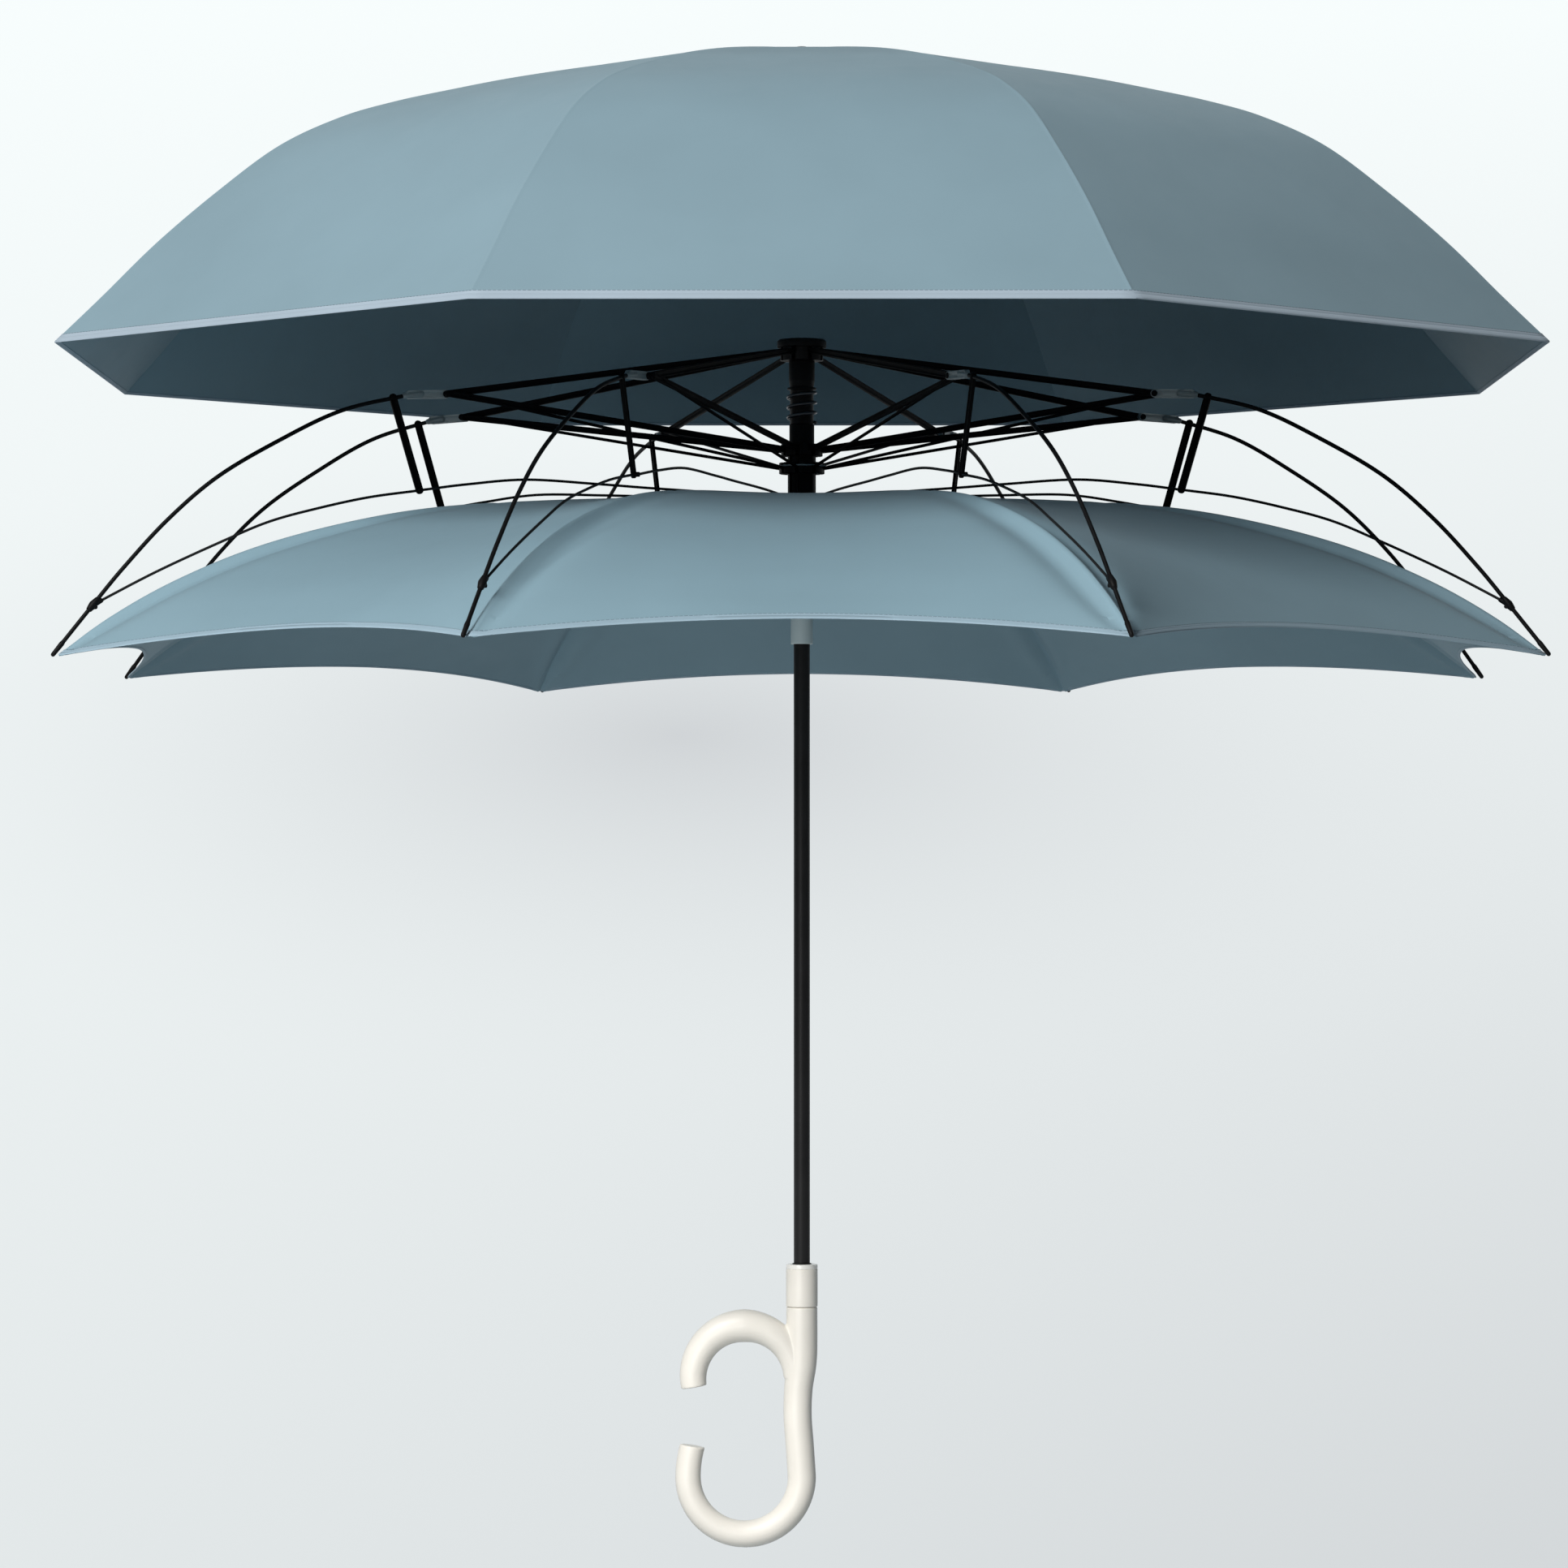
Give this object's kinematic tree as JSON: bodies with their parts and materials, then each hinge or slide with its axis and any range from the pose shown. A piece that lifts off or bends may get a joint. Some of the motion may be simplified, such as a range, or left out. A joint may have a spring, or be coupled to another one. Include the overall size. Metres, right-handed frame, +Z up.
{
  "type": "umbrella",
  "caption": "Reverse-folding stick umbrella with two cloth canopies, a double frame of ribs and a C-shaped handle, its outer canopy lifted off above the frame.",
  "frame": {"origin": "middle of the grip, on the shaft's axis", "axes": "+Z up along the shaft to the crown; the handle's hooks open towards -X"},
  "size_m": [0.9772, 0.9772, 1.0225],
  "materials": {
    "black_steel": "satin black paint",
    "black_aluminium": "black anodised",
    "black_fibreglass": "smooth pultruded rod",
    "black_plastic": "moulded",
    "grey_nylon": "moulded, slightly translucent",
    "ivory_plastic": "soft satin coating",
    "outer_cloth": "woven pongee",
    "inner_cloth": "woven pongee"
  },
  "bodies": {
    "root": {"shaft": "black_steel", "crown": "black_plastic", "crown_sleeve": "black_plastic", "bumper_spring": "black_steel", "handle_collar": "ivory_plastic", "handle_grip": "ivory_plastic"},
    "runner": {"runner": "black_plastic", "runner_liner": "grey_nylon", "inner_canopy": "inner_cloth"},
    "catch": {"top_catch": "black_steel"},
    "canopy_cap": {"top_cap": "black_plastic"},
    "arm_1": {"arm_1": "black_aluminium"},
    "strut_1": {"strut_1": "black_aluminium"},
    "rib_1": {"outer_rib_1": "black_fibreglass"},
    "stay_1": {"stay_1": "black_steel"},
    "canopy_top_1": {"outer_canopy_top_1": "outer_cloth"},
    "canopy_skirt_1": {"outer_canopy_skirt_1": "outer_cloth"},
    "arm_2": {"arm_2": "black_aluminium"},
    "strut_2": {"strut_2": "black_aluminium"},
    "rib_2": {"outer_rib_2": "black_fibreglass"},
    "stay_2": {"stay_2": "black_steel"},
    "canopy_top_2": {"outer_canopy_top_2": "outer_cloth"},
    "canopy_skirt_2": {"outer_canopy_skirt_2": "outer_cloth"},
    "arm_3": {"arm_3": "black_aluminium"},
    "strut_3": {"strut_3": "black_aluminium"},
    "rib_3": {"outer_rib_3": "black_fibreglass"},
    "stay_3": {"stay_3": "black_steel"},
    "canopy_top_3": {"outer_canopy_top_3": "outer_cloth"},
    "canopy_skirt_3": {"outer_canopy_skirt_3": "outer_cloth"},
    "arm_4": {"arm_4": "black_aluminium"},
    "strut_4": {"strut_4": "black_aluminium"},
    "rib_4": {"outer_rib_4": "black_fibreglass"},
    "stay_4": {"stay_4": "black_steel"},
    "canopy_top_4": {"outer_canopy_top_4": "outer_cloth"},
    "canopy_skirt_4": {"outer_canopy_skirt_4": "outer_cloth"},
    "arm_5": {"arm_5": "black_aluminium"},
    "strut_5": {"strut_5": "black_aluminium"},
    "rib_5": {"outer_rib_5": "black_fibreglass"},
    "stay_5": {"stay_5": "black_steel"},
    "canopy_top_5": {"outer_canopy_top_5": "outer_cloth"},
    "canopy_skirt_5": {"outer_canopy_skirt_5": "outer_cloth"},
    "arm_6": {"arm_6": "black_aluminium"},
    "strut_6": {"strut_6": "black_aluminium"},
    "rib_6": {"outer_rib_6": "black_fibreglass"},
    "stay_6": {"stay_6": "black_steel"},
    "canopy_top_6": {"outer_canopy_top_6": "outer_cloth"},
    "canopy_skirt_6": {"outer_canopy_skirt_6": "outer_cloth"},
    "arm_7": {"arm_7": "black_aluminium"},
    "strut_7": {"strut_7": "black_aluminium"},
    "rib_7": {"outer_rib_7": "black_fibreglass"},
    "stay_7": {"stay_7": "black_steel"},
    "canopy_top_7": {"outer_canopy_top_7": "outer_cloth"},
    "canopy_skirt_7": {"outer_canopy_skirt_7": "outer_cloth"},
    "arm_8": {"arm_8": "black_aluminium"},
    "strut_8": {"strut_8": "black_aluminium"},
    "rib_8": {"outer_rib_8": "black_fibreglass"},
    "stay_8": {"stay_8": "black_steel"},
    "canopy_top_8": {"outer_canopy_top_8": "outer_cloth"},
    "canopy_skirt_8": {"outer_canopy_skirt_8": "outer_cloth"}
  },
  "joints": [
    {"name": "runner_slide", "type": "slide", "parent": "root", "child": "runner", "axis": [0, 0, -1], "range_m": [0, 0.4215], "deforming": ["inner_canopy", "outer_canopy_top_1", "outer_canopy_top_2", "outer_canopy_top_3", "outer_canopy_top_4", "outer_canopy_top_5", "outer_canopy_top_6", "outer_canopy_top_7", "outer_canopy_top_8", "outer_canopy_skirt_1", "outer_canopy_skirt_2", "outer_canopy_skirt_3", "outer_canopy_skirt_4", "outer_canopy_skirt_5", "outer_canopy_skirt_6", "outer_canopy_skirt_7", "outer_canopy_skirt_8", "stay_1", "stay_2", "stay_3", "stay_4", "stay_5", "stay_6", "stay_7", "stay_8"]},
    {"name": "outer_canopy_lift", "type": "slide", "parent": "root", "child": "canopy_cap", "axis": [0, 0, -1], "range_m": [0, 0.193]},
    {"name": "catch_press", "type": "slide", "parent": "root", "child": "catch", "axis": [-1, 0, 0], "range_m": [0, 0.0016], "stiffness_N_per_m": 300},
    {"name": "arm_1_hinge", "type": "hinge", "parent": "root", "child": "arm_1", "pos_m": [0.01155, 0.00478, 0.7175], "axis": [-0.3827, 0.9239, 0], "range_deg": [0, 75.42]},
    {"name": "strut_1_hinge", "type": "hinge", "parent": "arm_1", "child": "strut_1", "pos_m": [0.23642, 0.09793, 0.6808], "axis": [-0.3827, 0.9239, 0], "range_deg": [-152.24, 0]},
    {"name": "rib_1_hinge", "type": "hinge", "parent": "arm_1", "child": "rib_1", "pos_m": [0.23642, 0.09793, 0.6808], "axis": [-0.3827, 0.9239, 0], "range_deg": [-185.2, 0]},
    {"name": "stay_1_hinge", "type": "hinge", "parent": "runner", "child": "stay_1", "pos_m": [0.01155, 0.00478, 0.6157], "axis": [-0.3827, 0.9239, 0], "range_deg": [-75.39, 0]},
    {"name": "canopy_top_1_fold", "type": "hinge", "parent": "canopy_cap", "child": "canopy_top_1", "pos_m": [0.01155, 0.00478, 0.9105], "axis": [-0.3827, 0.9239, 0], "range_deg": [0, 75.42]},
    {"name": "canopy_skirt_1_fold", "type": "hinge", "parent": "canopy_top_1", "child": "canopy_skirt_1", "pos_m": [0.23642, 0.09793, 0.8738], "axis": [-0.3827, 0.9239, 0], "range_deg": [-185.2, 0]},
    {"name": "arm_2_hinge", "type": "hinge", "parent": "root", "child": "arm_2", "pos_m": [0.00478, 0.01155, 0.7175], "axis": [-0.9239, 0.3827, 0], "range_deg": [0, 75.42]},
    {"name": "strut_2_hinge", "type": "hinge", "parent": "arm_2", "child": "strut_2", "pos_m": [0.09793, 0.23642, 0.6808], "axis": [-0.9239, 0.3827, 0], "range_deg": [-152.24, 0]},
    {"name": "rib_2_hinge", "type": "hinge", "parent": "arm_2", "child": "rib_2", "pos_m": [0.09793, 0.23642, 0.6808], "axis": [-0.9239, 0.3827, 0], "range_deg": [-185.2, 0]},
    {"name": "stay_2_hinge", "type": "hinge", "parent": "runner", "child": "stay_2", "pos_m": [0.00478, 0.01155, 0.6157], "axis": [-0.9239, 0.3827, 0], "range_deg": [-75.39, 0]},
    {"name": "canopy_top_2_fold", "type": "hinge", "parent": "canopy_cap", "child": "canopy_top_2", "pos_m": [0.00478, 0.01155, 0.9105], "axis": [-0.9239, 0.3827, 0], "range_deg": [0, 75.42]},
    {"name": "canopy_skirt_2_fold", "type": "hinge", "parent": "canopy_top_2", "child": "canopy_skirt_2", "pos_m": [0.09793, 0.23642, 0.8738], "axis": [-0.9239, 0.3827, 0], "range_deg": [-185.2, 0]},
    {"name": "arm_3_hinge", "type": "hinge", "parent": "root", "child": "arm_3", "pos_m": [-0.00478, 0.01155, 0.7175], "axis": [-0.9239, -0.3827, 0], "range_deg": [0, 75.42]},
    {"name": "strut_3_hinge", "type": "hinge", "parent": "arm_3", "child": "strut_3", "pos_m": [-0.09793, 0.23642, 0.6808], "axis": [-0.9239, -0.3827, 0], "range_deg": [-152.24, 0]},
    {"name": "rib_3_hinge", "type": "hinge", "parent": "arm_3", "child": "rib_3", "pos_m": [-0.09793, 0.23642, 0.6808], "axis": [-0.9239, -0.3827, 0], "range_deg": [-185.2, 0]},
    {"name": "stay_3_hinge", "type": "hinge", "parent": "runner", "child": "stay_3", "pos_m": [-0.00478, 0.01155, 0.6157], "axis": [-0.9239, -0.3827, 0], "range_deg": [-75.39, 0]},
    {"name": "canopy_top_3_fold", "type": "hinge", "parent": "canopy_cap", "child": "canopy_top_3", "pos_m": [-0.00478, 0.01155, 0.9105], "axis": [-0.9239, -0.3827, 0], "range_deg": [0, 75.42]},
    {"name": "canopy_skirt_3_fold", "type": "hinge", "parent": "canopy_top_3", "child": "canopy_skirt_3", "pos_m": [-0.09793, 0.23642, 0.8738], "axis": [-0.9239, -0.3827, 0], "range_deg": [-185.2, 0]},
    {"name": "arm_4_hinge", "type": "hinge", "parent": "root", "child": "arm_4", "pos_m": [-0.01155, 0.00478, 0.7175], "axis": [-0.3827, -0.9239, 0], "range_deg": [0, 75.42]},
    {"name": "strut_4_hinge", "type": "hinge", "parent": "arm_4", "child": "strut_4", "pos_m": [-0.23642, 0.09793, 0.6808], "axis": [-0.3827, -0.9239, 0], "range_deg": [-152.24, 0]},
    {"name": "rib_4_hinge", "type": "hinge", "parent": "arm_4", "child": "rib_4", "pos_m": [-0.23642, 0.09793, 0.6808], "axis": [-0.3827, -0.9239, 0], "range_deg": [-185.2, 0]},
    {"name": "stay_4_hinge", "type": "hinge", "parent": "runner", "child": "stay_4", "pos_m": [-0.01155, 0.00478, 0.6157], "axis": [-0.3827, -0.9239, 0], "range_deg": [-75.39, 0]},
    {"name": "canopy_top_4_fold", "type": "hinge", "parent": "canopy_cap", "child": "canopy_top_4", "pos_m": [-0.01155, 0.00478, 0.9105], "axis": [-0.3827, -0.9239, 0], "range_deg": [0, 75.42]},
    {"name": "canopy_skirt_4_fold", "type": "hinge", "parent": "canopy_top_4", "child": "canopy_skirt_4", "pos_m": [-0.23642, 0.09793, 0.8738], "axis": [-0.3827, -0.9239, 0], "range_deg": [-185.2, 0]},
    {"name": "arm_5_hinge", "type": "hinge", "parent": "root", "child": "arm_5", "pos_m": [-0.01155, -0.00478, 0.7175], "axis": [0.3827, -0.9239, 0], "range_deg": [0, 75.42]},
    {"name": "strut_5_hinge", "type": "hinge", "parent": "arm_5", "child": "strut_5", "pos_m": [-0.23642, -0.09793, 0.6808], "axis": [0.3827, -0.9239, 0], "range_deg": [-152.24, 0]},
    {"name": "rib_5_hinge", "type": "hinge", "parent": "arm_5", "child": "rib_5", "pos_m": [-0.23642, -0.09793, 0.6808], "axis": [0.3827, -0.9239, 0], "range_deg": [-185.2, 0]},
    {"name": "stay_5_hinge", "type": "hinge", "parent": "runner", "child": "stay_5", "pos_m": [-0.01155, -0.00478, 0.6157], "axis": [0.3827, -0.9239, 0], "range_deg": [-75.39, 0]},
    {"name": "canopy_top_5_fold", "type": "hinge", "parent": "canopy_cap", "child": "canopy_top_5", "pos_m": [-0.01155, -0.00478, 0.9105], "axis": [0.3827, -0.9239, 0], "range_deg": [0, 75.42]},
    {"name": "canopy_skirt_5_fold", "type": "hinge", "parent": "canopy_top_5", "child": "canopy_skirt_5", "pos_m": [-0.23642, -0.09793, 0.8738], "axis": [0.3827, -0.9239, 0], "range_deg": [-185.2, 0]},
    {"name": "arm_6_hinge", "type": "hinge", "parent": "root", "child": "arm_6", "pos_m": [-0.00478, -0.01155, 0.7175], "axis": [0.9239, -0.3827, 0], "range_deg": [0, 75.42]},
    {"name": "strut_6_hinge", "type": "hinge", "parent": "arm_6", "child": "strut_6", "pos_m": [-0.09793, -0.23642, 0.6808], "axis": [0.9239, -0.3827, 0], "range_deg": [-152.24, 0]},
    {"name": "rib_6_hinge", "type": "hinge", "parent": "arm_6", "child": "rib_6", "pos_m": [-0.09793, -0.23642, 0.6808], "axis": [0.9239, -0.3827, 0], "range_deg": [-185.2, 0]},
    {"name": "stay_6_hinge", "type": "hinge", "parent": "runner", "child": "stay_6", "pos_m": [-0.00478, -0.01155, 0.6157], "axis": [0.9239, -0.3827, 0], "range_deg": [-75.39, 0]},
    {"name": "canopy_top_6_fold", "type": "hinge", "parent": "canopy_cap", "child": "canopy_top_6", "pos_m": [-0.00478, -0.01155, 0.9105], "axis": [0.9239, -0.3827, 0], "range_deg": [0, 75.42]},
    {"name": "canopy_skirt_6_fold", "type": "hinge", "parent": "canopy_top_6", "child": "canopy_skirt_6", "pos_m": [-0.09793, -0.23642, 0.8738], "axis": [0.9239, -0.3827, 0], "range_deg": [-185.2, 0]},
    {"name": "arm_7_hinge", "type": "hinge", "parent": "root", "child": "arm_7", "pos_m": [0.00478, -0.01155, 0.7175], "axis": [0.9239, 0.3827, 0], "range_deg": [0, 75.42]},
    {"name": "strut_7_hinge", "type": "hinge", "parent": "arm_7", "child": "strut_7", "pos_m": [0.09793, -0.23642, 0.6808], "axis": [0.9239, 0.3827, 0], "range_deg": [-152.24, 0]},
    {"name": "rib_7_hinge", "type": "hinge", "parent": "arm_7", "child": "rib_7", "pos_m": [0.09793, -0.23642, 0.6808], "axis": [0.9239, 0.3827, 0], "range_deg": [-185.2, 0]},
    {"name": "stay_7_hinge", "type": "hinge", "parent": "runner", "child": "stay_7", "pos_m": [0.00478, -0.01155, 0.6157], "axis": [0.9239, 0.3827, 0], "range_deg": [-75.39, 0]},
    {"name": "canopy_top_7_fold", "type": "hinge", "parent": "canopy_cap", "child": "canopy_top_7", "pos_m": [0.00478, -0.01155, 0.9105], "axis": [0.9239, 0.3827, 0], "range_deg": [0, 75.42]},
    {"name": "canopy_skirt_7_fold", "type": "hinge", "parent": "canopy_top_7", "child": "canopy_skirt_7", "pos_m": [0.09793, -0.23642, 0.8738], "axis": [0.9239, 0.3827, 0], "range_deg": [-185.2, 0]},
    {"name": "arm_8_hinge", "type": "hinge", "parent": "root", "child": "arm_8", "pos_m": [0.01155, -0.00478, 0.7175], "axis": [0.3827, 0.9239, 0], "range_deg": [0, 75.42]},
    {"name": "strut_8_hinge", "type": "hinge", "parent": "arm_8", "child": "strut_8", "pos_m": [0.23642, -0.09793, 0.6808], "axis": [0.3827, 0.9239, 0], "range_deg": [-152.24, 0]},
    {"name": "rib_8_hinge", "type": "hinge", "parent": "arm_8", "child": "rib_8", "pos_m": [0.23642, -0.09793, 0.6808], "axis": [0.3827, 0.9239, 0], "range_deg": [-185.2, 0]},
    {"name": "stay_8_hinge", "type": "hinge", "parent": "runner", "child": "stay_8", "pos_m": [0.01155, -0.00478, 0.6157], "axis": [0.3827, 0.9239, 0], "range_deg": [-75.39, 0]},
    {"name": "canopy_top_8_fold", "type": "hinge", "parent": "canopy_cap", "child": "canopy_top_8", "pos_m": [0.01155, -0.00478, 0.9105], "axis": [0.3827, 0.9239, 0], "range_deg": [0, 75.42]},
    {"name": "canopy_skirt_8_fold", "type": "hinge", "parent": "canopy_top_8", "child": "canopy_skirt_8", "pos_m": [0.23642, -0.09793, 0.8738], "axis": [0.3827, 0.9239, 0], "range_deg": [-185.2, 0]}
  ],
  "couplings": [
    {"joint": "arm_1_hinge", "follows": "runner_slide", "rad_per_m": 3.1228},
    {"joint": "strut_1_hinge", "follows": "runner_slide", "rad_per_m": -6.304},
    {"joint": "rib_1_hinge", "follows": "runner_slide", "rad_per_m": -7.6688},
    {"joint": "stay_1_hinge", "follows": "runner_slide", "rad_per_m": -3.1217},
    {"joint": "canopy_top_1_fold", "follows": "runner_slide", "rad_per_m": 3.1228},
    {"joint": "canopy_skirt_1_fold", "follows": "runner_slide", "rad_per_m": -7.6688},
    {"joint": "arm_2_hinge", "follows": "runner_slide", "rad_per_m": 3.1228},
    {"joint": "strut_2_hinge", "follows": "runner_slide", "rad_per_m": -6.304},
    {"joint": "rib_2_hinge", "follows": "runner_slide", "rad_per_m": -7.6688},
    {"joint": "stay_2_hinge", "follows": "runner_slide", "rad_per_m": -3.1217},
    {"joint": "canopy_top_2_fold", "follows": "runner_slide", "rad_per_m": 3.1228},
    {"joint": "canopy_skirt_2_fold", "follows": "runner_slide", "rad_per_m": -7.6688},
    {"joint": "arm_3_hinge", "follows": "runner_slide", "rad_per_m": 3.1228},
    {"joint": "strut_3_hinge", "follows": "runner_slide", "rad_per_m": -6.304},
    {"joint": "rib_3_hinge", "follows": "runner_slide", "rad_per_m": -7.6688},
    {"joint": "stay_3_hinge", "follows": "runner_slide", "rad_per_m": -3.1217},
    {"joint": "canopy_top_3_fold", "follows": "runner_slide", "rad_per_m": 3.1228},
    {"joint": "canopy_skirt_3_fold", "follows": "runner_slide", "rad_per_m": -7.6688},
    {"joint": "arm_4_hinge", "follows": "runner_slide", "rad_per_m": 3.1228},
    {"joint": "strut_4_hinge", "follows": "runner_slide", "rad_per_m": -6.304},
    {"joint": "rib_4_hinge", "follows": "runner_slide", "rad_per_m": -7.6688},
    {"joint": "stay_4_hinge", "follows": "runner_slide", "rad_per_m": -3.1217},
    {"joint": "canopy_top_4_fold", "follows": "runner_slide", "rad_per_m": 3.1228},
    {"joint": "canopy_skirt_4_fold", "follows": "runner_slide", "rad_per_m": -7.6688},
    {"joint": "arm_5_hinge", "follows": "runner_slide", "rad_per_m": 3.1228},
    {"joint": "strut_5_hinge", "follows": "runner_slide", "rad_per_m": -6.304},
    {"joint": "rib_5_hinge", "follows": "runner_slide", "rad_per_m": -7.6688},
    {"joint": "stay_5_hinge", "follows": "runner_slide", "rad_per_m": -3.1217},
    {"joint": "canopy_top_5_fold", "follows": "runner_slide", "rad_per_m": 3.1228},
    {"joint": "canopy_skirt_5_fold", "follows": "runner_slide", "rad_per_m": -7.6688},
    {"joint": "arm_6_hinge", "follows": "runner_slide", "rad_per_m": 3.1228},
    {"joint": "strut_6_hinge", "follows": "runner_slide", "rad_per_m": -6.304},
    {"joint": "rib_6_hinge", "follows": "runner_slide", "rad_per_m": -7.6688},
    {"joint": "stay_6_hinge", "follows": "runner_slide", "rad_per_m": -3.1217},
    {"joint": "canopy_top_6_fold", "follows": "runner_slide", "rad_per_m": 3.1228},
    {"joint": "canopy_skirt_6_fold", "follows": "runner_slide", "rad_per_m": -7.6688},
    {"joint": "arm_7_hinge", "follows": "runner_slide", "rad_per_m": 3.1228},
    {"joint": "strut_7_hinge", "follows": "runner_slide", "rad_per_m": -6.304},
    {"joint": "rib_7_hinge", "follows": "runner_slide", "rad_per_m": -7.6688},
    {"joint": "stay_7_hinge", "follows": "runner_slide", "rad_per_m": -3.1217},
    {"joint": "canopy_top_7_fold", "follows": "runner_slide", "rad_per_m": 3.1228},
    {"joint": "canopy_skirt_7_fold", "follows": "runner_slide", "rad_per_m": -7.6688},
    {"joint": "arm_8_hinge", "follows": "runner_slide", "rad_per_m": 3.1228},
    {"joint": "strut_8_hinge", "follows": "runner_slide", "rad_per_m": -6.304},
    {"joint": "rib_8_hinge", "follows": "runner_slide", "rad_per_m": -7.6688},
    {"joint": "stay_8_hinge", "follows": "runner_slide", "rad_per_m": -3.1217},
    {"joint": "canopy_top_8_fold", "follows": "runner_slide", "rad_per_m": 3.1228},
    {"joint": "canopy_skirt_8_fold", "follows": "runner_slide", "rad_per_m": -7.6688}
  ]
}
